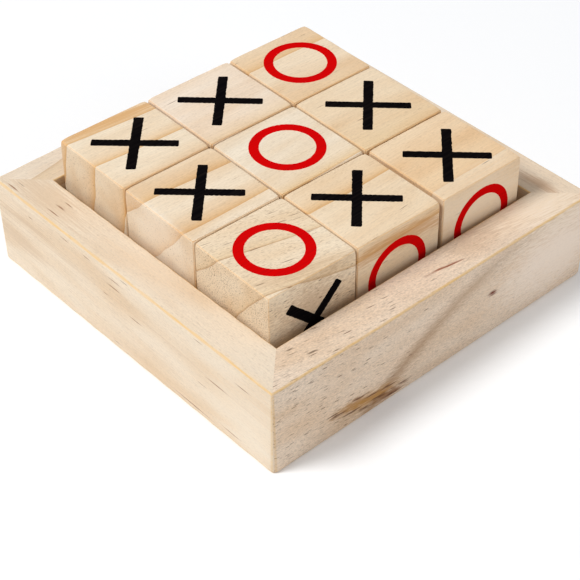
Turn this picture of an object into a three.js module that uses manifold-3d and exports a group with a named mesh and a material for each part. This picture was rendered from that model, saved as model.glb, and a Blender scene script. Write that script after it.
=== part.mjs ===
// A noughts-and-crosses set: printed pine cubes lying loose in a mitred pine tray with a plywood floor.
// Millimetres, +Z up, with the origin at the middle of the tray's underside.
// The tray's front faces -Y and its right side faces +X.

import * as THREE from 'three';
import { RoundedBoxGeometry } from 'three/addons/geometries/RoundedBoxGeometry.js';
import { mergeVertices } from 'three/addons/utils/BufferGeometryUtils.js';
import Module from 'manifold-3d';

// Cubes, and the room that they have in the tray
const blockSize = 25;
const blockEdgeRadius = 0.4;
const blockGap = 0.24;
const trayPlay = 3.7;

// Rails of the tray: planed strips, mitred, glued and then sanded round the outside
const railWidth = 10.2;
const railHeight = 24;
const sandedRadius = 0.6;
const innerArris = 0.4;
const mitreGlueLine = 0.12;

// Plywood floor, let into a groove that runs round the inside of the rails
const floorThickness = 4;
const floorUnderside = 6.2;
const grooveDepth = 4;
const grooveClearance = 0.15;

// Screen-printed marks
const inkThickness = 0.05;
const inkSeat = 0.02;
const strokeWidth = 2.4;
const crossArm = 20.6;
const ringDiameter = 18.2;
const restClearance = 0.05;

// Facets of the round edges and rings
const edgeSegments = 2;
const ringSegments = 12;

// The cubes lie a little skew in the tray, as loose cubes do. The skew takes up a share of the play,
// and what is left of the play is shared between the sides by a shift to the right and to the back.
const skewShare = 0.47;
const gridShift = { right: 0.05, back: -0.65 };

// Each cube: what is printed on its top, how it lies (shifts to the right and back, and a turn, as shares
// of the gap between cubes), and how far off centre its top was printed (mm right, mm back, degrees).
// Where the right face shows, side is how far off centre that was printed (mm up, mm back).
const columns = ['left', 'centre', 'right'];
const rows = ['front', 'middle', 'back'];
const cubes = {
  front_left: { top: 'cross', lies: [0.2, -0.3, 0.2], printed: [0.1, 0.0, 2.0] },
  front_centre: { top: 'cross', lies: [0.0, -0.2, 0.0], printed: [-0.5, -0.3, 1.6] },
  front_right: { top: 'ring', lies: [-0.2, 0.0, 0.2], printed: [0.6, -0.7, 0.0], side: [-0.5, 0.3] },
  middle_left: { top: 'cross', lies: [0.3, 0.1, 0.1], printed: [-0.3, 0.4, 1.0] },
  middle_centre: { top: 'ring', lies: [0.0, -0.1, 0.2], printed: [-0.5, 0.3, 0.0] },
  middle_right: { top: 'cross', lies: [-0.2, -0.2, -0.2], printed: [-1.0, -0.5, 1.4], side: [0.0, -0.3] },
  back_left: { top: 'ring', lies: [0.3, 0.5, -0.1], printed: [-0.1, 0.3, 0.0] },
  back_centre: { top: 'cross', lies: [-0.1, 0.2, 0.2], printed: [-0.7, 0.5, 0.9] },
  back_right: { top: 'cross', lies: [-0.1, 2.0, 0.3], printed: [0.8, 0.1, 1.0], side: [0.9, 0.3] },
};

// The four long-grain faces are printed in turn round the cube; the two end-grain faces are left bare.
const printedFaces = ['top', 'right', 'bottom', 'left'];
const otherMark = { cross: 'ring', ring: 'cross' };

const degrees = Math.PI / 180;
const quarterTurn = Math.PI / 2;

// Sizes that follow from the ones above
const inkHeight = inkSeat + inkThickness;
const pitch = blockSize + 2 * inkHeight + blockGap;
const gridLength = pitch * columns.length - blockGap;
const insideLength = gridLength + trayPlay;
const trayLength = insideLength + 2 * railWidth;
const floorTop = floorUnderside + floorThickness;
const floorLength = insideLength + 2 * (grooveDepth - grooveClearance);
const blockCentreHeight = floorTop + restClearance + inkHeight + blockSize / 2;
const skewRoom = skewShare * trayPlay;
const skewAngle = -Math.asin(skewRoom / gridLength);
const shiftRoom = (trayPlay - skewRoom) / 2;

const pineRail = new THREE.MeshStandardMaterial({ color: '#e6d2b4', roughness: 0.65, metalness: 0 });
const pineBlock = new THREE.MeshStandardMaterial({ color: '#eed9b9', roughness: 0.6, metalness: 0 });
const plywood = new THREE.MeshStandardMaterial({ color: '#d9bf95', roughness: 0.7, metalness: 0 });
const ink = {
  cross: new THREE.MeshStandardMaterial({ color: '#0c0a0c', roughness: 0.5, metalness: 0 }),
  ring: new THREE.MeshStandardMaterial({ color: '#d10a0e', roughness: 0.5, metalness: 0 }),
};

const wasm = await Module();
wasm.setup();

function toSolid(geometry) {
  const bare = geometry.clone();
  bare.deleteAttribute('normal');
  bare.deleteAttribute('uv');
  const merged = mergeVertices(bare);
  const vertProperties = new Float32Array(merged.attributes.position.array);
  const triVerts = new Uint32Array(merged.index.array);
  return new wasm.Manifold(new wasm.Mesh({ numProp: 3, vertProperties, triVerts }));
}

function toGeometry(solid) {
  const mesh = solid.getMesh();
  const geometry = new THREE.BufferGeometry();
  geometry.setAttribute('position', new THREE.BufferAttribute(mesh.vertProperties, 3));
  geometry.setIndex(new THREE.BufferAttribute(mesh.triVerts, 1));
  geometry.computeVertexNormals();
  return geometry;
}

function addPiece(parent, name, geometry, material) {
  const mesh = new THREE.Mesh(geometry, material);
  mesh.name = name;
  parent.add(mesh);
  return mesh;
}

// A rail's section across its length, from the outer face (0) to the inner face, with the floor's groove
// and a broken arris along the inner top edge.
function railSection() {
  const grooveBottom = floorUnderside - grooveClearance;
  const grooveTop = floorTop + grooveClearance;
  const grooveBack = railWidth - grooveDepth;
  return new THREE.Shape([
    new THREE.Vector2(0, 0),
    new THREE.Vector2(railWidth, 0),
    new THREE.Vector2(railWidth, grooveBottom),
    new THREE.Vector2(grooveBack, grooveBottom),
    new THREE.Vector2(grooveBack, grooveTop),
    new THREE.Vector2(railWidth, grooveTop),
    new THREE.Vector2(railWidth, railHeight - innerArris),
    new THREE.Vector2(railWidth - innerArris, railHeight),
    new THREE.Vector2(0, railHeight),
  ]);
}

// The front rail: the section runs along X, each end is cut back at 45 degrees by as much as a point lies
// inside the outer face, less half the glue line, and the outside is rounded by sanding.
function frontRail() {
  const half = trayLength / 2;
  const strip = new THREE.ExtrudeGeometry(railSection(), { depth: trayLength, bevelEnabled: false });
  const alongX = new THREE.Vector3(1, 0, 0);
  const inward = new THREE.Vector3(0, 1, 0);
  const upward = new THREE.Vector3(0, 0, 1);
  strip.applyMatrix4(new THREE.Matrix4().makeBasis(inward, upward, alongX));
  strip.translate(-half, -half, 0);
  const points = strip.attributes.position;
  for (let i = 0; i < points.count; i += 1) {
    const inset = points.getY(i) + half;
    const reach = half - inset - mitreGlueLine / Math.SQRT2;
    points.setX(i, Math.sign(points.getX(i)) * reach);
  }
  const sanded = new RoundedBoxGeometry(trayLength, trayLength, railHeight, edgeSegments, sandedRadius);
  sanded.translate(0, 0, railHeight / 2);
  return toGeometry(toSolid(strip).intersect(toSolid(sanded)));
}

// A cross is two bars at right angles, set on the face's diagonals.
function crossOutline() {
  const arm = crossArm / 2;
  const side = strokeWidth / 2;
  const corner = [
    [arm, -side],
    [arm, side],
    [side, side],
  ];
  const outline = [];
  for (let quarter = 0; quarter < 4; quarter += 1) {
    const angle = quarter * quarterTurn + quarterTurn / 2;
    for (const [x, y] of corner) {
      outline.push(new THREE.Vector2(x, y).rotateAround(new THREE.Vector2(), angle));
    }
  }
  return new THREE.Shape(outline);
}

function ringOutline() {
  const outline = new THREE.Shape();
  outline.absarc(0, 0, ringDiameter / 2, 0, 2 * Math.PI);
  const hole = new THREE.Path();
  hole.absarc(0, 0, ringDiameter / 2 - strokeWidth, 0, 2 * Math.PI, true);
  outline.holes.push(hole);
  return outline;
}

// A mark is a film of ink that lies just above the face of a cube centred on the origin.
function markFilm(outline) {
  const film = new THREE.ExtrudeGeometry(outline, {
    depth: inkThickness,
    bevelEnabled: false,
    curveSegments: ringSegments,
  });
  film.translate(0, 0, blockSize / 2 + inkSeat);
  return film;
}

const film = { cross: markFilm(crossOutline()), ring: markFilm(ringOutline()) };
const cubeGeometry = new RoundedBoxGeometry(blockSize, blockSize, blockSize, edgeSegments, blockEdgeRadius);

// The cube with its four marks, alternately like the top and unlike it. The top's mark and the right
// face's are off centre; on the right face, the mark's own -X points up.
function printedCube(name, { top, printed, side = [0, 0] }) {
  const cube = new THREE.Group();
  addPiece(cube, `${name}_block`, cubeGeometry, pineBlock);
  printedFaces.forEach((face, index) => {
    const mark = index % 2 === 0 ? top : otherMark[top];
    const turned = new THREE.Group();
    turned.rotation.y = index * quarterTurn;
    cube.add(turned);
    const piece = addPiece(turned, `${name}_${face}_${mark}`, film[mark], ink[mark]);
    if (face === 'top') {
      piece.position.set(printed[0], printed[1], 0);
      piece.rotation.z = printed[2] * degrees;
    }
    if (face === 'right') {
      piece.position.set(-side[0], side[1], 0);
    }
  });
  return cube;
}

function tray() {
  const assembly = new THREE.Group();
  const railGeometry = frontRail();
  ['front_rail', 'right_rail', 'back_rail', 'left_rail'].forEach((name, side) => {
    addPiece(assembly, name, railGeometry, pineRail).rotation.z = side * quarterTurn;
  });
  const panel = new THREE.BoxGeometry(floorLength, floorLength, floorThickness);
  addPiece(assembly, 'floor_panel', panel, plywood).position.z = floorUnderside + floorThickness / 2;
  return assembly;
}

function cubesInTray() {
  const grid = new THREE.Group();
  grid.position.set(gridShift.right * shiftRoom, gridShift.back * shiftRoom, blockCentreHeight);
  grid.rotation.z = skewAngle;
  const middle = (columns.length - 1) / 2;
  rows.forEach((row, rowIndex) => {
    columns.forEach((column, columnIndex) => {
      const name = `${row}_${column}`;
      const [right, back, turn] = cubes[name].lies;
      const cube = printedCube(name, cubes[name]);
      cube.position.x = (columnIndex - middle) * pitch + right * blockGap;
      cube.position.y = (rowIndex - middle) * pitch + back * blockGap;
      cube.rotation.z = (turn * blockGap) / blockSize;
      grid.add(cube);
    });
  });
  return grid;
}

const board = new THREE.Group();
board.name = 'noughts_and_crosses';
board.add(tray(), cubesInTray());

export default board;
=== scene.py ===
"""A noughts-and-crosses set: nine printed pine cubes lying loose in a mitred pine tray.

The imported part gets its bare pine, its plywood and its printing ink, and stands on a white table.
Metres, +Z up; the tray's front faces -Y and its right side faces +X.
"""

import bpy
import numpy as np
from mathutils import Matrix, Vector


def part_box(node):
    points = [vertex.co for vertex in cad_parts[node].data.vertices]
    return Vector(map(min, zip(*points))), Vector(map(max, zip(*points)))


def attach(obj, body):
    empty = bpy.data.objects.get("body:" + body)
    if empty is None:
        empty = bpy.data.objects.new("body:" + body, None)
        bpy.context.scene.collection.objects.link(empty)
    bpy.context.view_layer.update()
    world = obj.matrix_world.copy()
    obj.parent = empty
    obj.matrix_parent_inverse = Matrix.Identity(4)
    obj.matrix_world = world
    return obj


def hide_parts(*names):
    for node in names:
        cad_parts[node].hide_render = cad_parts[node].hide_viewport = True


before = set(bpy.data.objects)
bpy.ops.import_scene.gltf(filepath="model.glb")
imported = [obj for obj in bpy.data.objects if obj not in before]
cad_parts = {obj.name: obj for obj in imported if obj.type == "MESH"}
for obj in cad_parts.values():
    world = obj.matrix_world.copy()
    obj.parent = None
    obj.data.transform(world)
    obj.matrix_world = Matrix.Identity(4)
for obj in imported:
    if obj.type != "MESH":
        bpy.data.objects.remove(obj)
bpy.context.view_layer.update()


# Rails
# Four strips of planed pine, grooved inside for the floor, mitred and glued at the corners.
# The outside was sanded after gluing, so the arrises are soft, most of all at the worn lower corners.

MM = 0.001
RAIL_SIDES = ("front_rail", "right_rail", "back_rail", "left_rail")
CORNER_RADIUS = 0.6
CORNER_WEAR = {"front_rail": 0.9, "right_rail": 0.7, "back_rail": 1.2, "left_rail": 1.2}
WEAR_HEIGHT = 4.0
OUTER_ARRIS = 0.6
INNER_ARRIS = 0.4
ARRIS_UNEVEN = 0.3
MITRE_GAP = 0.005
ARC_STEPS = 6
CREASE = np.radians(40)
STRAIGHT_STEPS = 90
ARRIS_WAVE = 9.0
EDGE_BAND = 0.3
RIPPLE_WAVES = 8
WELD_STEP = 1e-5


def ripple(points, wavelength, seed):
    """Smooth unevenness, mostly between -1 and 1: waves of one length, whose directions and phases follow
    from the seed, added up and divided by half their number."""
    rng = np.random.default_rng(seed)
    directions = rng.normal(size=(RIPPLE_WAVES, points.shape[-1]))
    directions /= np.linalg.norm(directions, axis=1, keepdims=True)
    phases = rng.uniform(0, 2 * np.pi, RIPPLE_WAVES)
    waves = np.sin(points @ directions.T * (2 * np.pi / wavelength) + phases)
    return waves.sum(axis=-1) / (RIPPLE_WAVES / 2)


def grid_faces(rows, columns, closed):
    """Quads between the neighbouring points of a grid; closed joins the last column to the first."""
    index = np.arange(rows * columns).reshape(rows, columns)
    if closed:
        index = np.hstack([index, index[:, :1]])
    return np.stack([index[:-1, :-1], index[:-1, 1:], index[1:, 1:], index[1:, :-1]], axis=-1).reshape(-1, 4)


def weld(points, quads):
    """Joins points that share a place, and turns quads that lost a side into triangles.
    Returns the kept points' places in the first list, where each point went, and the faces."""
    keys = np.round(points / WELD_STEP).astype(np.int64)
    _, kept, moved = np.unique(keys, axis=0, return_index=True, return_inverse=True)
    moved = moved.reshape(-1)
    quads = moved[quads]
    lost = quads == np.roll(quads, -1, axis=1)
    halves = quads[lost.sum(axis=1) == 1]
    start = np.argmax(lost[lost.sum(axis=1) == 1], axis=1)
    thirds = halves[np.arange(len(halves))[:, None], (start[:, None] + np.arange(1, 4)) % 4]
    return kept, moved, quads[lost.sum(axis=1) == 0].tolist() + thirds.tolist()


def make_piece(name, points, faces, material, body, stands_for, arris=None):
    """Meshes a surface given in millimetres, with its material, on its body, and hides the CAD part."""
    mesh = bpy.data.meshes.new(name)
    mesh.from_pydata((points * MM).tolist(), [], faces)
    mesh.shade_smooth()
    mesh.set_sharp_from_angle(angle=CREASE)
    mesh.materials.append(material)
    if arris is not None:
        mesh.attributes.new("arris", "FLOAT", "POINT").data.foreach_set("value", arris)
    piece = bpy.data.objects.new(name, mesh)
    bpy.context.scene.collection.objects.link(piece)
    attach(piece, body)
    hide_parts(stands_for)


rail_low, rail_high = (np.array(corner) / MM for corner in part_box("front_rail"))
panel_low, panel_high = (np.array(corner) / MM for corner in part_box("floor_panel"))
TRAY_HALF = -rail_low[1]
RAIL_WIDTH = rail_high[1] - rail_low[1]
RAIL_HEIGHT = rail_high[2]
GROOVE_PLAY = 0.15
GROOVE_BACK = TRAY_HALF - panel_high[1] - GROOVE_PLAY
GROOVE_LOW = panel_low[2] - GROOVE_PLAY
GROOVE_HIGH = panel_high[2] + GROOVE_PLAY
SHOULDER = 0.25


def rail_section(uneven):
    """A rail's outline across its length, as (inset from the outer face, height) for each station.
    Each arris is a quarter circle whose radius follows the unevenness, with a point a little way along
    the flat on both sides of it; the groove has square corners."""
    quarter = np.linspace(0, np.pi / 2, ARC_STEPS + 1)
    outer = OUTER_ARRIS * (1 + ARRIS_UNEVEN * uneven)[:, None]
    inner = INNER_ARRIS * (1 + ARRIS_UNEVEN * uneven)[:, None]
    inset, height, weight = [], [], []
    corners = (
        (outer, outer, np.pi, outer),
        (RAIL_WIDTH - inner, inner, 1.5 * np.pi, inner),
        None,
        (RAIL_WIDTH - inner, RAIL_HEIGHT - inner, 0, inner),
        (outer, RAIL_HEIGHT - outer, 0.5 * np.pi, outer),
    )
    for corner in corners:
        if corner is None:
            groove_inset = np.array([RAIL_WIDTH, GROOVE_BACK, GROOVE_BACK, RAIL_WIDTH])
            groove_height = np.array([GROOVE_LOW, GROOVE_LOW, GROOVE_HIGH, GROOVE_HIGH])
            inset.append(np.broadcast_to(groove_inset, (len(uneven), 4)))
            height.append(np.broadcast_to(groove_height, (len(uneven), 4)))
            weight.append(np.zeros(4))
            continue
        middle_inset, middle_height, start, radius = corner
        arc_inset = middle_inset + radius * np.cos(start + quarter)
        arc_height = middle_height + radius * np.sin(start + quarter)
        before = np.array([-np.sin(start), np.cos(start)]) * SHOULDER
        after = np.array([np.cos(start), np.sin(start)]) * SHOULDER
        inset.append(np.hstack([arc_inset[:, :1] - before[0], arc_inset, arc_inset[:, -1:] - after[0]]))
        height.append(np.hstack([arc_height[:, :1] - before[1], arc_height, arc_height[:, -1:] - after[1]]))
        weight.append(np.concatenate([[0], np.sin(2 * quarter), [0]]))
    return np.hstack(inset), np.hstack(height), np.concatenate(weight)


def rail_surface(left_wear, right_wear, quarter_turns, seed):
    """The section carried along the rail. Between the corners it runs straight. At each corner the points
    that lie nearer the outer face than the corner's radius swing round the corner's centre by an eighth
    of a turn, and the others stop at the mitre, so the flat ends lie on the mitre planes."""
    swing_steps = np.linspace(0, np.pi / 4, ARC_STEPS + 1)
    way = np.concatenate([np.zeros(ARC_STEPS), np.linspace(0, 1, STRAIGHT_STEPS + 1), np.ones(ARC_STEPS)])
    turn = np.concatenate([swing_steps[:0:-1], np.zeros(STRAIGHT_STEPS + 1), swing_steps[1:]])[:, None]
    uneven = ripple(way[:, None] * 2 * TRAY_HALF, ARRIS_WAVE, seed)
    inset, height, weight = rail_section(uneven)
    way = way[:, None]
    worn = np.exp(-height / WEAR_HEIGHT)
    left_radius = CORNER_RADIUS + left_wear * worn
    right_radius = CORNER_RADIUS + right_wear * worn
    left_end = np.maximum(inset, left_radius) - TRAY_HALF
    right_end = TRAY_HALF - np.maximum(inset, right_radius)
    end = np.where(way < 0.5, -1, 1)
    radius = np.where(way < 0.5, left_radius, right_radius)
    swing = np.maximum(radius - inset, 0) * (turn > 0)
    along = left_end + (right_end - left_end) * way + end * swing * np.sin(turn)
    inset = inset + swing * (1 - np.cos(turn))
    reach = TRAY_HALF - inset - MITRE_GAP
    along = np.clip(along, -reach, reach)
    points = np.stack([along, inset - TRAY_HALF, height], axis=-1)
    outside = np.clip(1 - inset / EDGE_BAND, 0, 1)
    arris = np.maximum(np.broadcast_to(weight, along.shape), outside * np.sin(2 * turn))
    angle = quarter_turns * np.pi / 2
    spun = points.copy()
    spun[..., 0] = points[..., 0] * np.cos(angle) - points[..., 1] * np.sin(angle)
    spun[..., 1] = points[..., 0] * np.sin(angle) + points[..., 1] * np.cos(angle)
    rows, columns = along.shape
    flat = spun.reshape(-1, 3)
    kept, moved, faces = weld(flat, grid_faces(rows, columns, closed=True))
    first_end = moved[:columns][::-1].tolist()
    last_end = moved[-columns:].tolist()
    return flat[kept], faces + [first_end, last_end], arris.reshape(-1)[kept]


def linear(hex_colour):
    """An sRGB hex value as linear red, green, blue and alpha."""
    channels = np.array([int(hex_colour[i:i + 2], 16) for i in (1, 3, 5)]) / 255
    curved = np.where(channels <= 0.04045, channels / 12.92, ((channels + 0.055) / 1.055) ** 2.4)
    return (*curved.tolist(), 1.0)


def node(tree, kind, inputs, **settings):
    """Adds a node with its settings. Inputs go by socket name or number; each is a value, another node,
    whose first output is linked, or an output socket."""
    made = tree.nodes.new(kind)
    for name, value in settings.items():
        setattr(made, name, value)
    for key, value in inputs.items():
        if isinstance(value, bpy.types.Node):
            value = value.outputs[0]
        if isinstance(value, bpy.types.NodeSocket):
            tree.links.new(value, made.inputs[key])
        else:
            made.inputs[key].default_value = value
    return made


FIBRE_LENGTH = 14.0
FIBRE_WIDTH = 0.3
PORE_LENGTH = 1.2
PORE_WIDTH = 0.28
FUZZ_LENGTH = 0.55
FUZZ_WIDTH = 0.3
PATCH_LENGTH = 32.0
PATCH_WIDTH = 8.0
DRIFT_LENGTH = 60.0
DRIFT_WIDTH = 16.0
DUCT_LENGTH = 4.4
DUCT_WIDTH = 0.31
YEAR_LINE = "#a8713f"
RESIN_BROWN = "#63412c"
PORE_BROWN = "#80604a"
TAN_PATCH = "#f6ece0"
END_GRAIN = "#f0ece8"
END_PORES = 2.0
NOISE_LOW = 0.3
NOISE_HIGH = 0.7
FIBRE_DARK = 0.93
FIBRE_LIGHT = 1.03
YEAR_LINE_WIDTH = 0.5
STREAK_GRAIN = 1.6
STREAK_EDGE = 1.8
STREAK_CORE = 1.0
PORE_EDGE = 0.56
PORE_HEART = 0.72
PATCH_EDGE = 0.4
PATCH_HEART = 0.7
DUCT_EDGE = 0.5
DUCT_HEART = 0.2
DUCT_FAINT = 0.3
DUCT_STRONG = 0.95
END_GRAIN_FROM = 0.8
END_GRAIN_FULL = 0.97
FLAME_EDGE = 1.5
FLAME_HEART = 0.4


def pine(name, centre, fibre, outward, edge, spacing, rings, early, late, late_power=4.0, line=0.2,
         drift=0.6, resin=0.01, resin_fades=None, pores=0.15, fuzz=0.04, arris_and_highlight_colour="#e0a963",
         bow=0.0, bow_at=0.0, flame=None, stains_and_light_patches=()):
    """Bare radiata pine, sawn or planed and then sanded: wide growth rings that darken slowly from cream to
    orange and stop short, silky fibres with a fine fuzz, and short brown resin ducts, dashes along the grain
    and dots on the end grain. The rings are cylinders round the pith, drawn off true by a slow drift and by
    a bow that grows with the square of the way along; one ends at the distance edge outward from the piece's
    centre and is that many rings old. The ducts can fade out between two distances along the grain from the
    centre. A flame is a soft brown band on both sides of that ring's end, given by its half width, its
    colour, its share where it is strongest, and the distances along the grain between which it fades. Stains
    and painted light patches are streaks, each given by its middle, half length, half width, colour and
    share."""
    material = bpy.data.materials.new(name)
    material.use_nodes = True
    tree = material.node_tree
    tree.nodes.clear()
    along = Vector(fibre).normalized()
    out = Vector(outward)
    out = (out - along * out.dot(along)).normalized()
    turned = Matrix((along, out, along.cross(out)))
    pith = Vector(centre) + out * (edge - rings * spacing)
    coordinates = node(tree, "ShaderNodeTexCoord", {})
    placed = node(tree, "ShaderNodeMapping", {
        "Vector": coordinates.outputs["Object"],
        "Location": -(turned @ pith),
        "Rotation": turned.to_euler(),
        "Scale": (1 / MM, 1 / MM, 1 / MM),
    })

    def stretched(length, width):
        return node(tree, "ShaderNodeVectorMath", {0: placed, 1: (1 / length, 1 / width, 1 / width)},
                    operation="MULTIPLY")

    def noise(length, width, detail):
        return node(tree, "ShaderNodeTexNoise",
                    {"Vector": stretched(length, width), "Scale": 1.0, "Detail": detail})

    def mixed(share, colour, other, blend="MIX"):
        return node(tree, "ShaderNodeMix", {0: share, 6: colour, 7: other},
                    data_type="RGBA", blend_type=blend).outputs[2]

    slow = node(tree, "ShaderNodeTexNoise",
                {"Vector": stretched(DRIFT_LENGTH, DRIFT_WIDTH), "Scale": 1.0, "Detail": 2.0},
                normalize=False)
    warped = node(tree, "ShaderNodeVectorMath",
                  {0: slow.outputs["Color"], 1: (0, 2 * drift, 2 * drift), 2: placed},
                  operation="MULTIPLY_ADD")
    across = node(tree, "ShaderNodeVectorMath", {0: warped, 1: (0, 1, 1)}, operation="MULTIPLY")
    radius = node(tree, "ShaderNodeVectorMath", {0: across}, operation="LENGTH").outputs["Value"]
    way = node(tree, "ShaderNodeSeparateXYZ", {0: placed})
    if bow:
        from_turn = node(tree, "ShaderNodeMath", {0: way, 1: bow_at}, operation="SUBTRACT")
        squared = node(tree, "ShaderNodeMath", {0: from_turn, 1: from_turn}, operation="MULTIPLY")
        radius = node(tree, "ShaderNodeMath", {0: squared, 1: bow, 2: radius}, operation="MULTIPLY_ADD")
    age = node(tree, "ShaderNodeMath", {0: radius, 1: spacing}, operation="DIVIDE")
    season = node(tree, "ShaderNodeMath", {0: age}, operation="FRACT")
    latewood = node(tree, "ShaderNodeMath", {0: season, 1: late_power}, operation="POWER")
    year_end = node(tree, "ShaderNodeMapRange", {
        "Value": season,
        "From Min": 1 - YEAR_LINE_WIDTH / spacing,
        "From Max": 1.0,
        "To Max": line,
    })

    fibres = noise(FIBRE_LENGTH, FIBRE_WIDTH, detail=3.0)
    fibre_tone = node(tree, "ShaderNodeMapRange", {
        "Value": fibres,
        "From Min": NOISE_LOW,
        "From Max": NOISE_HIGH,
        "To Min": FIBRE_DARK,
        "To Max": FIBRE_LIGHT,
    })
    fuzz_field = noise(FUZZ_LENGTH, FUZZ_WIDTH, detail=1.0)
    fuzz_tone = node(tree, "ShaderNodeMapRange", {
        "Value": fuzz_field,
        "From Min": NOISE_LOW,
        "From Max": NOISE_HIGH,
        "To Min": 1 - fuzz,
        "To Max": 1 + fuzz,
    })
    pore_field = noise(PORE_LENGTH, PORE_WIDTH, detail=1.0)
    pore_core = node(tree, "ShaderNodeMapRange",
                     {"Value": pore_field, "From Min": PORE_EDGE, "From Max": PORE_HEART, "To Max": pores})
    patches = noise(PATCH_LENGTH, PATCH_WIDTH, detail=2.0)
    patch = node(tree, "ShaderNodeMapRange",
                 {"Value": patches, "From Min": PATCH_EDGE, "From Max": PATCH_HEART})

    ducts = node(tree, "ShaderNodeTexVoronoi", {"Vector": stretched(DUCT_LENGTH, DUCT_WIDTH), "Scale": 1.0})
    duct_core = node(tree, "ShaderNodeMapRange",
                     {"Value": ducts, "From Min": DUCT_EDGE, "From Max": DUCT_HEART},
                     interpolation_type="SMOOTHSTEP")
    duct_draw = node(tree, "ShaderNodeSeparateColor", {"Color": ducts.outputs["Color"]})
    duct_limit = resin
    if resin_fades:
        duct_limit = node(tree, "ShaderNodeMapRange", {
            "Value": way,
            "From Min": resin_fades[0],
            "From Max": resin_fades[1],
            "To Min": resin,
            "To Max": 0.0,
        })
    duct_open = node(tree, "ShaderNodeMath", {0: duct_draw, 1: duct_limit}, operation="LESS_THAN")
    duct_full = node(tree, "ShaderNodeMapRange",
                     {"Value": duct_draw.outputs["Green"], "To Min": DUCT_FAINT, "To Max": DUCT_STRONG})
    duct_depth = node(tree, "ShaderNodeMath", {0: duct_full, 1: duct_core}, operation="MULTIPLY")
    duct = node(tree, "ShaderNodeMath", {0: duct_depth, 1: duct_open}, operation="MULTIPLY")

    facing = node(tree, "ShaderNodeVectorMath", {0: coordinates.outputs["Normal"], 1: along},
                  operation="DOT_PRODUCT").outputs["Value"]
    square = node(tree, "ShaderNodeMath", {0: facing}, operation="ABSOLUTE")
    end_grain = node(tree, "ShaderNodeMapRange",
                     {"Value": square, "From Min": END_GRAIN_FROM, "From Max": END_GRAIN_FULL})
    open_end = node(tree, "ShaderNodeMapRange", {"Value": end_grain, "To Min": 1.0, "To Max": END_PORES})
    pore = node(tree, "ShaderNodeMath", {0: pore_core, 1: open_end}, operation="MULTIPLY")
    # The arrises turn warm yellow: partly burnished wood, partly painted highlight and painted bounce light.
    arris = node(tree, "ShaderNodeAttribute", {}, attribute_name="arris")
    burnish_and_highlight = node(tree, "ShaderNodeMath", {0: arris.outputs["Fac"], 1: fibres}, operation="MULTIPLY")

    wood = mixed(latewood, linear(early), linear(late))
    wood = mixed(year_end, wood, linear(YEAR_LINE))
    wood = mixed(patch, wood, linear(TAN_PATCH), "MULTIPLY")
    wood = mixed(1.0, wood, fibre_tone, "MULTIPLY")
    wood = mixed(1.0, wood, fuzz_tone, "MULTIPLY")
    wood = mixed(pore, wood, linear(PORE_BROWN))
    wood = mixed(end_grain, wood, linear(END_GRAIN), "MULTIPLY")
    if flame:
        flame_width, flame_colour, flame_share, flame_from, flame_to = flame
        beyond = node(tree, "ShaderNodeMath", {0: radius, 1: rings * spacing}, operation="SUBTRACT")
        off_band = node(tree, "ShaderNodeMath", {0: beyond}, operation="ABSOLUTE")
        grainy = node(tree, "ShaderNodeMath", {0: fibres, 1: flame_width, 2: off_band},
                      operation="MULTIPLY_ADD")
        band = node(tree, "ShaderNodeMapRange", {
            "Value": grainy,
            "From Min": FLAME_EDGE * flame_width,
            "From Max": FLAME_HEART * flame_width,
        }, interpolation_type="SMOOTHSTEP")
        fading = node(tree, "ShaderNodeMapRange", {
            "Value": way,
            "From Min": flame_from,
            "From Max": flame_to,
            "To Min": flame_share,
            "To Max": 0.0,
        })
        burnt = node(tree, "ShaderNodeMath", {0: band, 1: fading}, operation="MULTIPLY")
        wood = mixed(burnt, wood, linear(flame_colour))
    for place, half_length, half_width, colour, share in stains_and_light_patches:
        from_middle = node(tree, "ShaderNodeVectorMath",
                           {0: placed, 1: turned @ (Vector(place) - pith)}, operation="SUBTRACT")
        sized = node(tree, "ShaderNodeVectorMath",
                     {0: from_middle, 1: (1 / half_length, 1 / half_width, 1 / half_width)},
                     operation="MULTIPLY")
        distance = node(tree, "ShaderNodeVectorMath", {0: sized}, operation="LENGTH").outputs["Value"]
        streaked = node(tree, "ShaderNodeMath", {0: fibres, 1: STREAK_GRAIN, 2: distance},
                        operation="MULTIPLY_ADD")
        streak_share = node(tree, "ShaderNodeMapRange",
                     {"Value": streaked, "From Min": STREAK_EDGE, "From Max": STREAK_CORE, "To Max": share},
                     interpolation_type="SMOOTHSTEP")
        wood = mixed(streak_share, wood, linear(colour))
    wood = mixed(duct, wood, linear(RESIN_BROWN))
    wood = mixed(burnish_and_highlight, wood, linear(arris_and_highlight_colour))

    raised = node(tree, "ShaderNodeMath", {0: fibres, 1: 0.5, 2: latewood}, operation="MULTIPLY_ADD")
    height = node(tree, "ShaderNodeMath", {0: raised, 1: duct}, operation="SUBTRACT")
    bump = node(tree, "ShaderNodeBump", {"Height": height, "Strength": 0.25, "Distance": 0.05 * MM})
    gloss = node(tree, "ShaderNodeMapRange", {"Value": fibres, "To Min": 0.5, "To Max": 0.8})
    surface = node(tree, "ShaderNodeBsdfPrincipled", {
        "Base Color": wood,
        "Roughness": gloss,
        "Specular IOR Level": 0.2,
        "Normal": bump,
    })
    node(tree, "ShaderNodeOutputMaterial", {"Surface": surface})
    return material


# Planes of the rails that carry streaks
FRONT_FACE = -TRAY_HALF
RIGHT_FACE = TRAY_HALF
RAIL_TOP = RAIL_HEIGHT

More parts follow.
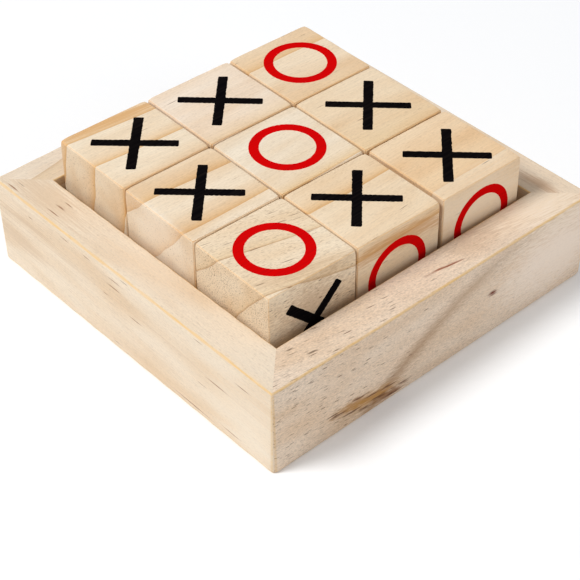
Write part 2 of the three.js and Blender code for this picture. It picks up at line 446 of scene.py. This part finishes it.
# Resin dashes on the front rail, given by start and end along X, and by height on its face or place along Y
# on its top. A dash fades out towards its ends, so its streak is made longer than half of it.
DASH_BROWN = "#8d5a3a"
DASH_FADE = 1.6
FRONT_DASHES = (
    (-24, -20, 21.9), (-15.5, -12.5, 21.6), (-6, -1, 20.9), (-6.5, -1.5, 18.7), (-9, -6, 14.9), (1, 6, 13.6),
    (28, 35, 13.7), (38, 43, 18.9), (24, 28, 22.7), (17, 28, 1.6), (32, 40, 2.4), (-37, -35, 20.2),
)
FRONT_TOP_DASHES = ((-31.5, -27.5, -43), (-32, -28, -45), (-32, -27, -47.4), (-46, -42, -48.6))
front_stains_and_highlights = [
    ((-44, FRONT_FACE, 10), 16, 4.0, "#cdb091", 0.45),
    ((-38, FRONT_FACE, 17.5), 17, 1.5, "#c8a988", 0.45),
    # Two pale patches are painted light: a painted highlight on the face towards the right-hand corner, and
    # a fainter one on the middle of the top.
    ((42, FRONT_FACE, 12), 22, 15.0, "#f8edda", 0.3),
    ((-36, -45, RAIL_TOP), 20, 7.0, "#d9bc9b", 0.6),
    ((2, -45, RAIL_TOP), 18, 7.0, "#f0e1ce", 0.2),
]
front_stains_and_highlights += [(((start + end) / 2, FRONT_FACE, height), (end - start) / DASH_FADE, 0.22, DASH_BROWN, 0.8)
                 for start, end, height in FRONT_DASHES]
front_stains_and_highlights += [(((start + end) / 2, place, RAIL_TOP), (end - start) / DASH_FADE, 0.25, DASH_BROWN, 0.85)
                 for start, end, place in FRONT_TOP_DASHES]

# Dark streaks in the resin patch low on the right rail, as places along Y and heights.
STREAK_BROWN = "#66402a"
RIGHT_STREAKS = (
    (-31, 5.4), (-27, 3.6), (-25, 6.6), (-23, 2.4), (-21, 5.0),
    (-19, 3.0), (-16, 4.4), (-15, 1.4), (-11, 2.6),
)
resin_streaks = [((RIGHT_FACE, place, height), 6.0, 0.5, STREAK_BROWN, 0.85)
                 for place, height in RIGHT_STREAKS]

# Each rail's grain. The right one has a flame of brown resin wood, a small knot and a crack.
# The rails' arris tint is partly burnished wood, partly painted highlight.
RAIL_ARRIS_AND_HIGHLIGHT = "#e2b04c"
RAIL_GRAIN = {
    "front_rail": {
        "fibre": (1, 0, -0.02), "outward": (0, -0.15, -1), "edge": -1.6, "spacing": 30.0, "rings": 5,
        "early": "#ead9c2", "late": "#e9d7bf", "late_power": 2.0, "line": 0.12, "resin": 0.002,
        "stains_and_light_patches": front_stains_and_highlights,
    },
    "right_rail": {
        "fibre": (0.13, 1, -0.07), "outward": (0.41, 0, 0.91), "edge": 12.95, "spacing": 60.0, "rings": 4,
        "early": "#e6d1ba", "late": "#dcc6ae", "late_power": 8.0, "line": 0.0,
        "resin": 0.16, "resin_fades": (-26, 2), "pores": 0.3, "fuzz": 0.11, "bow": 0.00564, "bow_at": 40.9,
        "flame": (4.2, "#9a7450", 0.68, -14, 46),
        "stains_and_light_patches": (
            # Painted light: the first two pale streaks lighten the far end of the top and of the outer face,
            # where more light falls.
            ((45, 38, RAIL_TOP), 26, 10.0, "#f2dec3", 0.75),
            ((RIGHT_FACE, 40, 12), 28, 16.0, "#f4e3d2", 0.75),
            ((RIGHT_FACE, -22, 3.8), 15, 4.2, "#b8946c", 0.65),
            ((RIGHT_FACE, -27, 5.6), 10, 2.0, "#ad7c40", 0.75),
            ((RIGHT_FACE, -21, 4.2), 11, 2.1, "#b5823f", 0.8),
            ((RIGHT_FACE, -16, 1.9), 9, 1.6, "#8a5c34", 0.8),
            *resin_streaks,
            ((RIGHT_FACE, -33, 6.4), 4, 0.4, "#5b4030", 0.75),
            ((RIGHT_FACE, -28, 3.8), 5, 0.3, "#6b4a30", 0.6),
            ((RIGHT_FACE, 17.5, 12.3), 2.0, 1.0, "#6b3020", 1.0),
            ((45.4, 5.2, RAIL_TOP), 17, 0.5, "#8a4a2c", 0.95),
            ((42.2, -38, RAIL_TOP), 1.6, 0.4, "#5a4632", 0.8),
            ((45.9, -35, RAIL_TOP), 1.8, 0.35, "#5a4632", 0.8),
            ((49, -31, RAIL_TOP), 1.4, 0.4, "#5a4632", 0.8),
        ),
    },
    "back_rail": {
        "fibre": (1, 0.03, 0.05), "outward": (0, 0.8, -0.6), "edge": 9.0, "spacing": 22.0, "rings": 5,
        "early": "#ead8c1", "late": "#e0c8a9", "late_power": 4.0, "drift": 1.2, "resin": 0.012,
        "stains_and_light_patches": (((39, 44, RAIL_TOP), 9, 2.5, "#b98a60", 0.5),),
    },
    "left_rail": {
        "fibre": (0.02, 1, -0.04), "outward": (-0.5, 0, -0.87), "edge": 8.0, "spacing": 18.0, "rings": 5,
        "early": "#ebdac4", "late": "#e2cbab", "late_power": 4.0, "drift": 1.2, "resin": 0.012,
    },
}

for quarter_turns, side in enumerate(RAIL_SIDES):
    next_side = RAIL_SIDES[(quarter_turns + 1) % 4]
    surface_points, surface_faces, surface_arris = rail_surface(
        CORNER_WEAR[side], CORNER_WEAR[next_side], quarter_turns, seed=quarter_turns)
    low, high = (np.array(corner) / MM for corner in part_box(side))
    rail_pine = pine(f"planed_pine_{side}", (low + high) / 2, arris_and_highlight_colour=RAIL_ARRIS_AND_HIGHLIGHT, **RAIL_GRAIN[side])
    make_piece(f"{side}_planed", surface_points, surface_faces, rail_pine, "tray", side,
               surface_arris)


# Floor panel
# A square of thin three-ply, sawn to size and slid into the rails' groove before the last rail was glued.
# It floats in the groove without glue; only its upper face shows, under a cube that is lifted out.

VENEER_CREAM = "#ddc49a"
VENEER_TAN = "#c9a470"
VENEER_FIGURE = 22.0
VENEER_BAND = 5.0

plywood = bpy.data.materials.new("rotary_cut_birch_plywood")
plywood.use_nodes = True
plywood_tree = plywood.node_tree
plywood_tree.nodes.clear()
# Veneer peeled from a log shows the rings as broad wavy bands with soft edges.
veneer_place = node(plywood_tree, "ShaderNodeTexCoord", {}).outputs["Object"]
veneer_stretch = node(plywood_tree, "ShaderNodeMapping", {
    "Vector": veneer_place,
    "Scale": (1 / (VENEER_FIGURE * MM), 1 / (VENEER_BAND * MM), 1 / (VENEER_BAND * MM)),
})
veneer_bands = node(plywood_tree, "ShaderNodeTexNoise",
                    {"Vector": veneer_stretch, "Scale": 1.0, "Detail": 4.0, "Distortion": 0.6})
veneer_share = node(plywood_tree, "ShaderNodeMapRange",
                    {"Value": veneer_bands, "From Min": 0.35, "From Max": 0.7})
veneer_colour = node(plywood_tree, "ShaderNodeMix",
                     {0: veneer_share, 6: linear(VENEER_CREAM), 7: linear(VENEER_TAN)},
                     data_type="RGBA").outputs[2]
veneer_bump = node(plywood_tree, "ShaderNodeBump",
                   {"Height": veneer_bands, "Strength": 0.2, "Distance": 0.05 * MM})
veneer_surface = node(plywood_tree, "ShaderNodeBsdfPrincipled", {
    "Base Color": veneer_colour,
    "Roughness": 0.65,
    "Specular IOR Level": 0.3,
    "Normal": veneer_bump,
})
node(plywood_tree, "ShaderNodeOutputMaterial", {"Surface": veneer_surface})
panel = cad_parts["floor_panel"]
panel.data.materials.clear()
panel.data.materials.append(plywood)


# Cubes
# Nine pine cubes, crosscut from one square strip, so front and back are end grain, and tumbled to take
# the edges off. They lie loose on the floor panel, each a little askew.

ROWS = ("front", "middle", "back")
COLUMNS = ("left", "centre", "right")
BLOCK_SIZE = 25.0
BLOCK_ROUNDING = 0.4
CHIP_DEPTH = 0.08
CHIP_LENGTH = 3.7
BRUISE_LENGTH = 7.0
CUBE_SEED = 10
CORNER_REACH = 2.5
CORNER_CUT = 0.35
FLAT_STEPS = 44
ROUND_STEPS = 5


def tumbled_cube(seed):
    """A cube with round edges: six square grids, each point held to the box that lies one rounding inside
    the cube, then pushed out by the rounding along the line from its nearest point on that box. Where two
    faces meet, tumbling has bruised the edge by an uneven depth; where three meet, it has worn the corner
    towards the middle, by more the nearer a point lies to the corner."""
    half = BLOCK_SIZE / 2
    core = half - BLOCK_ROUNDING
    bend = BLOCK_ROUNDING * np.tan(np.linspace(0, np.pi / 4, ROUND_STEPS + 1)[1:])
    ticks = np.concatenate([-core - bend[::-1], np.linspace(-core, core, FLAT_STEPS + 1), core + bend])
    first, second = np.meshgrid(ticks, ticks, indexing="ij")
    third = np.full_like(first, half)
    sides = []
    for axis in range(3):
        for sign in (1, -1):
            side = np.stack([first, sign * second, sign * third], axis=-1)
            sides.append(np.roll(side, axis, axis=-1))
    cube = np.stack(sides).reshape(-1, 3)
    inside = np.clip(cube, -core, core)
    outward = cube - inside
    outward /= np.linalg.norm(outward, axis=1, keepdims=True)
    edge = np.clip((1 - np.abs(outward).max(axis=1)) / (1 - np.sqrt(0.5)), 0, 1)
    chips = np.clip(ripple(cube, CHIP_LENGTH, seed), 0, 1)
    bruise = chips + 0.5 * (1 + ripple(cube, BRUISE_LENGTH, seed + 50))
    points = inside + outward * (BLOCK_ROUNDING - CHIP_DEPTH * edge * bruise)[:, None]
    near_corner = np.clip(1 - (3 * half - np.abs(cube).sum(axis=1)) / CORNER_REACH, 0, 1)
    points -= np.sign(cube) * (CORNER_CUT * near_corner ** 2 / np.sqrt(3))[:, None]
    count = len(ticks)
    quads = grid_faces(count, count, closed=False)
    quads = np.concatenate([quads + count * count * side for side in range(6)])
    kept, _, faces = weld(points, quads)
    return points[kept], faces, edge[kept]


def node_points(name):
    """A CAD node's points, in millimetres."""
    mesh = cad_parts[name].data
    flat = np.empty(3 * len(mesh.vertices))
    mesh.vertices.foreach_get("co", flat)
    return flat.reshape(-1, 3) / MM


def box_middle(points):
    """The middle of the box round some points."""
    return (points.min(axis=0) + points.max(axis=0)) / 2


def quarter_lie(flat):
    """How far a square or a diagonal cross is turned in its plane. The fourth power of a point, taken as a
    complex number, lies on the negative real axis for an unturned one, and turns four times as fast."""
    return np.angle(-np.sum(flat ** 4)) / 4


# Each cube's grain: how far the fibres swing to the right as they run back, and which way the rings face,
# in degrees from the right-hand side upward.
BLOCK_GRAIN = {
    "front_left": {"swing": 4.0, "faces": -14, "edge": 0.5, "spacing": 11.7, "rings": 7,
                   "early": "#f1dfc4", "late": "#e2b67e", "late_power": 4.5,
                   "stains_and_light_patches": (((-37.2, -25, 35.4), 30, 2.6, "#d6a263", 0.75),)},
    "front_centre": {"swing": 0, "faces": -45, "edge": -1.3, "spacing": 11.7, "rings": 6,
                     "early": "#f1dec3", "late": "#e3ba85", "late_power": 4.0,
                     "stains_and_light_patches": (((-1, -38.6, 28), 2.0, 16.0, "#fff6ea", 0.25),)},
    "front_right": {"swing": 12.6, "faces": -44, "edge": 2.8, "spacing": 12.8, "rings": 6,
                    "early": "#f1dec2", "late": "#e8cda6", "late_power": 5.0, "resin": 0.05, "line": 0.5,
                    "pores": 0.34, "fuzz": 0.07,
                    "stains_and_light_patches": (((37.6, -27, 27), 16, 9.0, "#b48f6b", 0.5),
                               ((35.5, -27, 35.4), 20, 4.5, "#c9a67f", 0.45))},
    "middle_left": {"swing": 0, "faces": 10, "edge": 14.5, "spacing": 27.0, "rings": 5,
                    "early": "#f2e0cb", "late": "#e8cba4", "late_power": 8.0},
    "middle_centre": {"swing": -2, "faces": 5, "edge": 13.6, "spacing": 27.0, "rings": 5,
                      "early": "#f1e2cb", "late": "#e6c493", "late_power": 10.0},
    "middle_right": {"swing": -4, "faces": -57, "edge": 0.5, "spacing": 12.6, "rings": 5,
                     "early": "#efd9ba", "late": "#e2b67e", "late_power": 8.0,
                     "stains_and_light_patches": (((38.2, -1, 31.2), 26, 3.8, "#c68d52", 0.65),)},
    "back_left": {"swing": 1, "faces": 5, "edge": -2.6, "spacing": 19.5, "rings": 5,
                  "early": "#efdabd", "late": "#e2b985", "late_power": 3.5},
    "back_centre": {"swing": 2, "faces": 20, "edge": 19.0, "spacing": 30.0, "rings": 4,
                    "early": "#eed8b9", "late": "#e5c597", "late_power": 3.0},
    "back_right": {"swing": -2, "faces": -10, "edge": 7.5, "spacing": 30.0, "rings": 4,
                   "early": "#f0dcc0", "late": "#edcda4", "late_power": 0.5, "line": 0.1,
                   "stains_and_light_patches": (((38.9, 24, 28.5), 22, 9.0, "#f6e3ca", 0.55),)},
}


def stand(points, middle, turn):
    """Turns points about the vertical and moves them to a cube's middle."""
    return points @ np.array(Matrix.Rotation(turn, 3, "Z")).T + middle


block_frames = {}
for row_index, row in enumerate(ROWS):
    for column_index, column in enumerate(COLUMNS):
        name = f"{row}_{column}"
        block_points = node_points(f"{name}_block")
        middle = box_middle(block_points)
        turn = quarter_lie((block_points - middle) @ np.array([1, 1j, 0]))
        block_frames[name] = (middle, turn)
        cube_seed = CUBE_SEED + len(COLUMNS) * row_index + column_index
        cube_points, cube_faces, cube_edges = tumbled_cube(cube_seed)
        grain = dict(BLOCK_GRAIN[name])
        swing = turn - np.radians(grain.pop("swing"))
        faces_up = np.radians(grain.pop("faces"))
        fibre = (-np.sin(swing), np.cos(swing), 0)
        outward = (np.cos(faces_up) * np.cos(swing), np.cos(faces_up) * np.sin(swing), np.sin(faces_up))
        block_pine = pine(f"tumbled_pine_{name}", middle, fibre, outward, **grain)
        make_piece(f"{name}_tumbled", stand(cube_points, middle, turn), cube_faces, block_pine, name,
                   f"{name}_block", cube_edges)


# Printed marks
# Black crosses and red rings, screen-printed on the four long-grain faces of each cube and left to dry.
# The ink has ragged edges where the wood drew it, and stands off the wood by a few hundredths. The rings on
# the sides came out a little smaller and thinner than those on top and underneath.

INK_TOP = 0.03
INK_FOOT = -0.03
STROKE = 2.4
CROSS_ARM = 20.6
FLAT_RING = {"width": 18.2, "stroke": STROKE}
SIDE_RING = {"width": 17.6, "stroke": 2.25}
END_ROUNDING = 0.35
RAGGED_CROSS = 0.07
RAGGED_RING = 0.03
RAGGED_LENGTH = 1.0
EDGE_STEP = 0.2
INK_SEED = 200
PRINTED_FACES = ("top", "right", "bottom", "left")
SIDE_FACES = ("right", "left")
INK_COLOURS = {"cross": ("#0b090b", "#1c1715"), "ring": ("#d50607", "#bd0a0c")}
INK_NAMES = {"cross": "black", "ring": "red"}
PINHOLE_WOOD = "#d8ab85"
PINHOLE_SPACING = 0.9
PINHOLE_SHARE = 0.003


def wander(outline, depth, seed):
    """Moves an outline's points to both sides by a smooth, ragged amount of about that depth."""
    flat = np.stack([outline.real, outline.imag], axis=-1)
    rough = ripple(flat, RAGGED_LENGTH, seed) + 1j * ripple(flat, RAGGED_LENGTH, seed + 100)
    return outline + depth * rough


def cross_film(seed):
    """A cross: the outline of four arms set on the diagonals, filled by shrinking it towards its middle in
    steps, carried down to the wood at its edge, and closed underneath in the same way."""
    side = STROKE / 2
    far = CROSS_ARM / 2 - END_ROUNDING
    near = side - END_ROUNDING
    run = np.arange(side, far, EDGE_STEP)
    quarter = np.linspace(0, np.pi / 2, 5)
    along = np.concatenate([run, far + END_ROUNDING * np.sin(quarter), far + END_ROUNDING * np.cos(quarter),
                            run[:0:-1]])
    beside = np.concatenate([np.full(len(run), -side), -near - END_ROUNDING * np.cos(quarter),
                             near + END_ROUNDING * np.sin(quarter), np.full(len(run) - 1, side)])
    arms = [(along + 1j * beside) * np.exp(1j * np.pi * (0.25 + 0.5 * arm)) for arm in range(4)]
    outline = wander(np.concatenate(arms), RAGGED_CROSS, seed)
    shares = np.array([0.0, 0.25, 0.5, 0.75, 0.93, 1.0, 1.0, 0.5, 0.0])
    heights = np.array([INK_TOP] * 6 + [INK_FOOT] * 3)
    return shares[:, None] * outline, heights


def ring_film(seed, width, stroke):
    """A ring: a square section, from the foot of the inner edge over the top to the foot of the outer edge
    and back underneath, carried round a circle."""
    count = int(np.pi * width / EDGE_STEP)
    circle = np.exp(2j * np.pi * np.arange(count) / count)
    outer = wander(circle * width / 2, RAGGED_RING, seed)
    inner = wander(circle * (width / 2 - stroke), RAGGED_RING, seed + 1)
    heights = np.array([INK_FOOT, INK_TOP, INK_TOP, INK_TOP, INK_FOOT, INK_FOOT])
    return np.stack([inner, inner, (inner + outer) / 2, outer, outer, inner]), heights


def screen_ink(mark):
    """Screen-printing ink on bare wood: an even matt film that sinks a little between the fibres, so it has
    a faint grain, and pinholes where the wood took none."""
    main, sunk = INK_COLOURS[mark]
    material = bpy.data.materials.new(f"screen_ink_{INK_NAMES[mark]}")
    material.use_nodes = True
    tree = material.node_tree
    tree.nodes.clear()
    place = node(tree, "ShaderNodeTexCoord", {}).outputs["Object"]
    along = node(tree, "ShaderNodeMapping", {
        "Vector": place,
        "Scale": (1 / (FIBRE_WIDTH * MM), 1 / (FIBRE_LENGTH * MM), 1 / (FIBRE_WIDTH * MM)),
    })
    grain = node(tree, "ShaderNodeTexNoise", {"Vector": along, "Scale": 1.0, "Detail": 3.0})
    sink = node(tree, "ShaderNodeMapRange", {"Value": grain, "From Min": 0.45, "From Max": 0.75})
    holes = node(tree, "ShaderNodeTexVoronoi", {"Vector": place, "Scale": 1 / (PINHOLE_SPACING * MM)})
    hole = node(tree, "ShaderNodeMapRange", {"Value": holes, "From Min": 0.16, "From Max": 0.05})
    chosen = node(tree, "ShaderNodeSeparateColor", {"Color": holes.outputs["Color"]})
    bare = node(tree, "ShaderNodeMath", {0: chosen, 1: PINHOLE_SHARE}, operation="LESS_THAN")
    pinhole = node(tree, "ShaderNodeMath", {0: hole, 1: bare}, operation="MULTIPLY")
    colour = node(tree, "ShaderNodeMix", {0: sink, 6: linear(main), 7: linear(sunk)},
                  data_type="RGBA").outputs[2]
    colour = node(tree, "ShaderNodeMix", {0: pinhole, 6: colour, 7: linear(PINHOLE_WOOD)},
                  data_type="RGBA").outputs[2]
    bump = node(tree, "ShaderNodeBump", {"Height": grain, "Strength": 0.2, "Distance": 0.04 * MM})
    surface = node(tree, "ShaderNodeBsdfPrincipled", {
        "Base Color": colour,
        "Roughness": 0.8,
        "Specular IOR Level": 0.0,
        "Normal": bump,
    })
    node(tree, "ShaderNodeOutputMaterial", {"Surface": surface})
    return material


ink = {mark: screen_ink(mark) for mark in INK_COLOURS}
marks = [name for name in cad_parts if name.endswith(tuple(ink))]
for seed, name in enumerate(sorted(marks)):
    row, column, face, mark = name.split("_")
    middle, turn = block_frames[f"{row}_{column}"]
    quarter = PRINTED_FACES.index(face)
    to_face = np.array(Matrix.Rotation(turn, 3, "Z") @ Matrix.Rotation(quarter * np.pi / 2, 3, "Y"))
    cad_flat = ((node_points(name) - middle) @ to_face) @ np.array([1, 1j, 0])
    off_centre = box_middle(cad_flat.real) + 1j * box_middle(cad_flat.imag)
    if mark == "cross":
        loops, heights = cross_film(INK_SEED + seed)
        loops = loops * np.exp(1j * quarter_lie(cad_flat - off_centre))
    else:
        ring_size = SIDE_RING if face in SIDE_FACES else FLAT_RING
        loops, heights = ring_film(INK_SEED + seed, **ring_size)
    loops = loops + off_centre
    heights = np.broadcast_to(heights[:, None] + BLOCK_SIZE / 2, loops.shape)
    film = np.stack([loops.real, loops.imag, heights], axis=-1).reshape(-1, 3)
    kept, _, film_faces = weld(film, grid_faces(*loops.shape, closed=True))
    make_piece(f"{name}_ink", film[kept] @ to_face.T + middle, film_faces, ink[mark], f"{row}_{column}",
               name)


# Table and light
# A white table top that runs out of the picture, in a pale room. A large soft box at the left front lights
# it, and a white card at the right fills the shadow side. The table keeps the tray's shadow.

TABLE_HALF = 3.0
TABLE_DROP = 0.05
TABLE_WHITE = "#f4f4f4"
TABLE_LIFT = 0.09
ROOM_FILL = 0.3876
ROOM_TINT = "#f7faff"
ROOM_WHITE = "#ffffff"


def seen(tree):
    """One where a ray comes from the camera, straight or by way of a gloss or a clear surface."""
    rays = node(tree, "ShaderNodeLightPath", {})
    bent = node(tree, "ShaderNodeMath",
                {0: rays.outputs["Is Glossy Ray"], 1: rays.outputs["Is Transmission Ray"]},
                operation="MAXIMUM")
    return node(tree, "ShaderNodeMath", {0: rays.outputs["Is Camera Ray"], 1: bent}, operation="MAXIMUM")


# A dull white laminate. A faint lift keeps it white to the eye wherever no shadow falls on it.
table_material = bpy.data.materials.new("white_laminate_table")
table_material.use_nodes = True
table_tree = table_material.node_tree
table_tree.nodes.clear()
table_lift = node(table_tree, "ShaderNodeMath", {0: seen(table_tree), 1: TABLE_LIFT}, operation="MULTIPLY")
table_skin = node(table_tree, "ShaderNodeBsdfDiffuse", {"Color": linear(TABLE_WHITE)})
table_glow = node(table_tree, "ShaderNodeEmission", {"Strength": table_lift})
table_sum = node(table_tree, "ShaderNodeAddShader", {0: table_skin, 1: table_glow})
node(table_tree, "ShaderNodeOutputMaterial", {"Surface": table_sum})

table_corners = [(x * TABLE_HALF, y * TABLE_HALF, -TABLE_DROP * MM)
                 for x, y in ((-1, -1), (1, -1), (1, 1), (-1, 1))]
table_mesh = bpy.data.meshes.new("table_top")
table_mesh.from_pydata(table_corners, [], [(0, 1, 2, 3)])
table_mesh.materials.append(table_material)
table = bpy.data.objects.new("table_top", table_mesh)
bpy.context.scene.collection.objects.link(table)

# The room lights the set with a cool, even grey, and is white where it is seen.
room = bpy.data.worlds.new("pale_room")
room.use_nodes = True
room_tree = room.node_tree
room_tree.nodes.clear()
room_fill = node(room_tree, "ShaderNodeBackground", {"Color": linear(ROOM_TINT), "Strength": ROOM_FILL})
room_white = node(room_tree, "ShaderNodeBackground", {"Color": linear(ROOM_WHITE), "Strength": 1.0})
room_mix = node(room_tree, "ShaderNodeMixShader", {0: seen(room_tree), 1: room_fill, 2: room_white})
node(room_tree, "ShaderNodeOutputWorld", {"Surface": room_mix})
bpy.context.scene.world = room

# A soft box above the left front, and a white card low on the right: direction, distance, width, power.
LIGHTS = {
    "soft_box": ((-0.23, -0.56, 0.8), 2.0, 0.72, 30.4),
    "white_card": ((0.88, 0.34, 0.33), 1.0, 0.8, 2.15),
}
for light_name, (direction, distance, width, power) in LIGHTS.items():
    lamp_data = bpy.data.lights.new(light_name, "AREA")
    lamp_data.shape = "DISK"
    lamp_data.size = width
    lamp_data.energy = power
    lamp = bpy.data.objects.new(light_name, lamp_data)
    lamp_back = Vector(direction).normalized()
    lamp.location = lamp_back * distance
    lamp.rotation_euler = lamp_back.to_track_quat("Z", "Y").to_euler()
    bpy.context.scene.collection.objects.link(lamp)


# Camera
# The photograph's view: from the front right and above, close enough to cut off the tray's right corner.
# A longish lens at short range makes the far cubes a little smaller; the view is rolled by half a degree.

CAMERA_AIM = Vector((17.527, -15.983, 12.0)) * MM
CAMERA_DISTANCE = 393.48 * MM
CAMERA_AZIMUTH = 48.424
CAMERA_ELEVATION = 40.867
CAMERA_ROLL = -0.615
CAMERA_LENS = 105.855

camera_data = bpy.data.cameras.new("view")
camera_data.lens = CAMERA_LENS
camera_data.sensor_width = 36.0
camera_data.clip_start = 0.01
camera = bpy.data.objects.new("view", camera_data)
azimuth, elevation, roll = np.radians([CAMERA_AZIMUTH, CAMERA_ELEVATION, CAMERA_ROLL])
level = np.cos(elevation)
look_back = Vector((np.sin(azimuth) * level, -np.cos(azimuth) * level, np.sin(elevation)))
upright = look_back.to_track_quat("Z", "Y").to_matrix()
camera.matrix_world = Matrix.Translation(CAMERA_AIM + look_back * CAMERA_DISTANCE) @ (
    upright @ Matrix.Rotation(roll, 3, "Z")).to_4x4()
bpy.context.scene.collection.objects.link(camera)
bpy.context.scene.camera = camera
bpy.context.scene.view_settings.view_transform = "Standard"
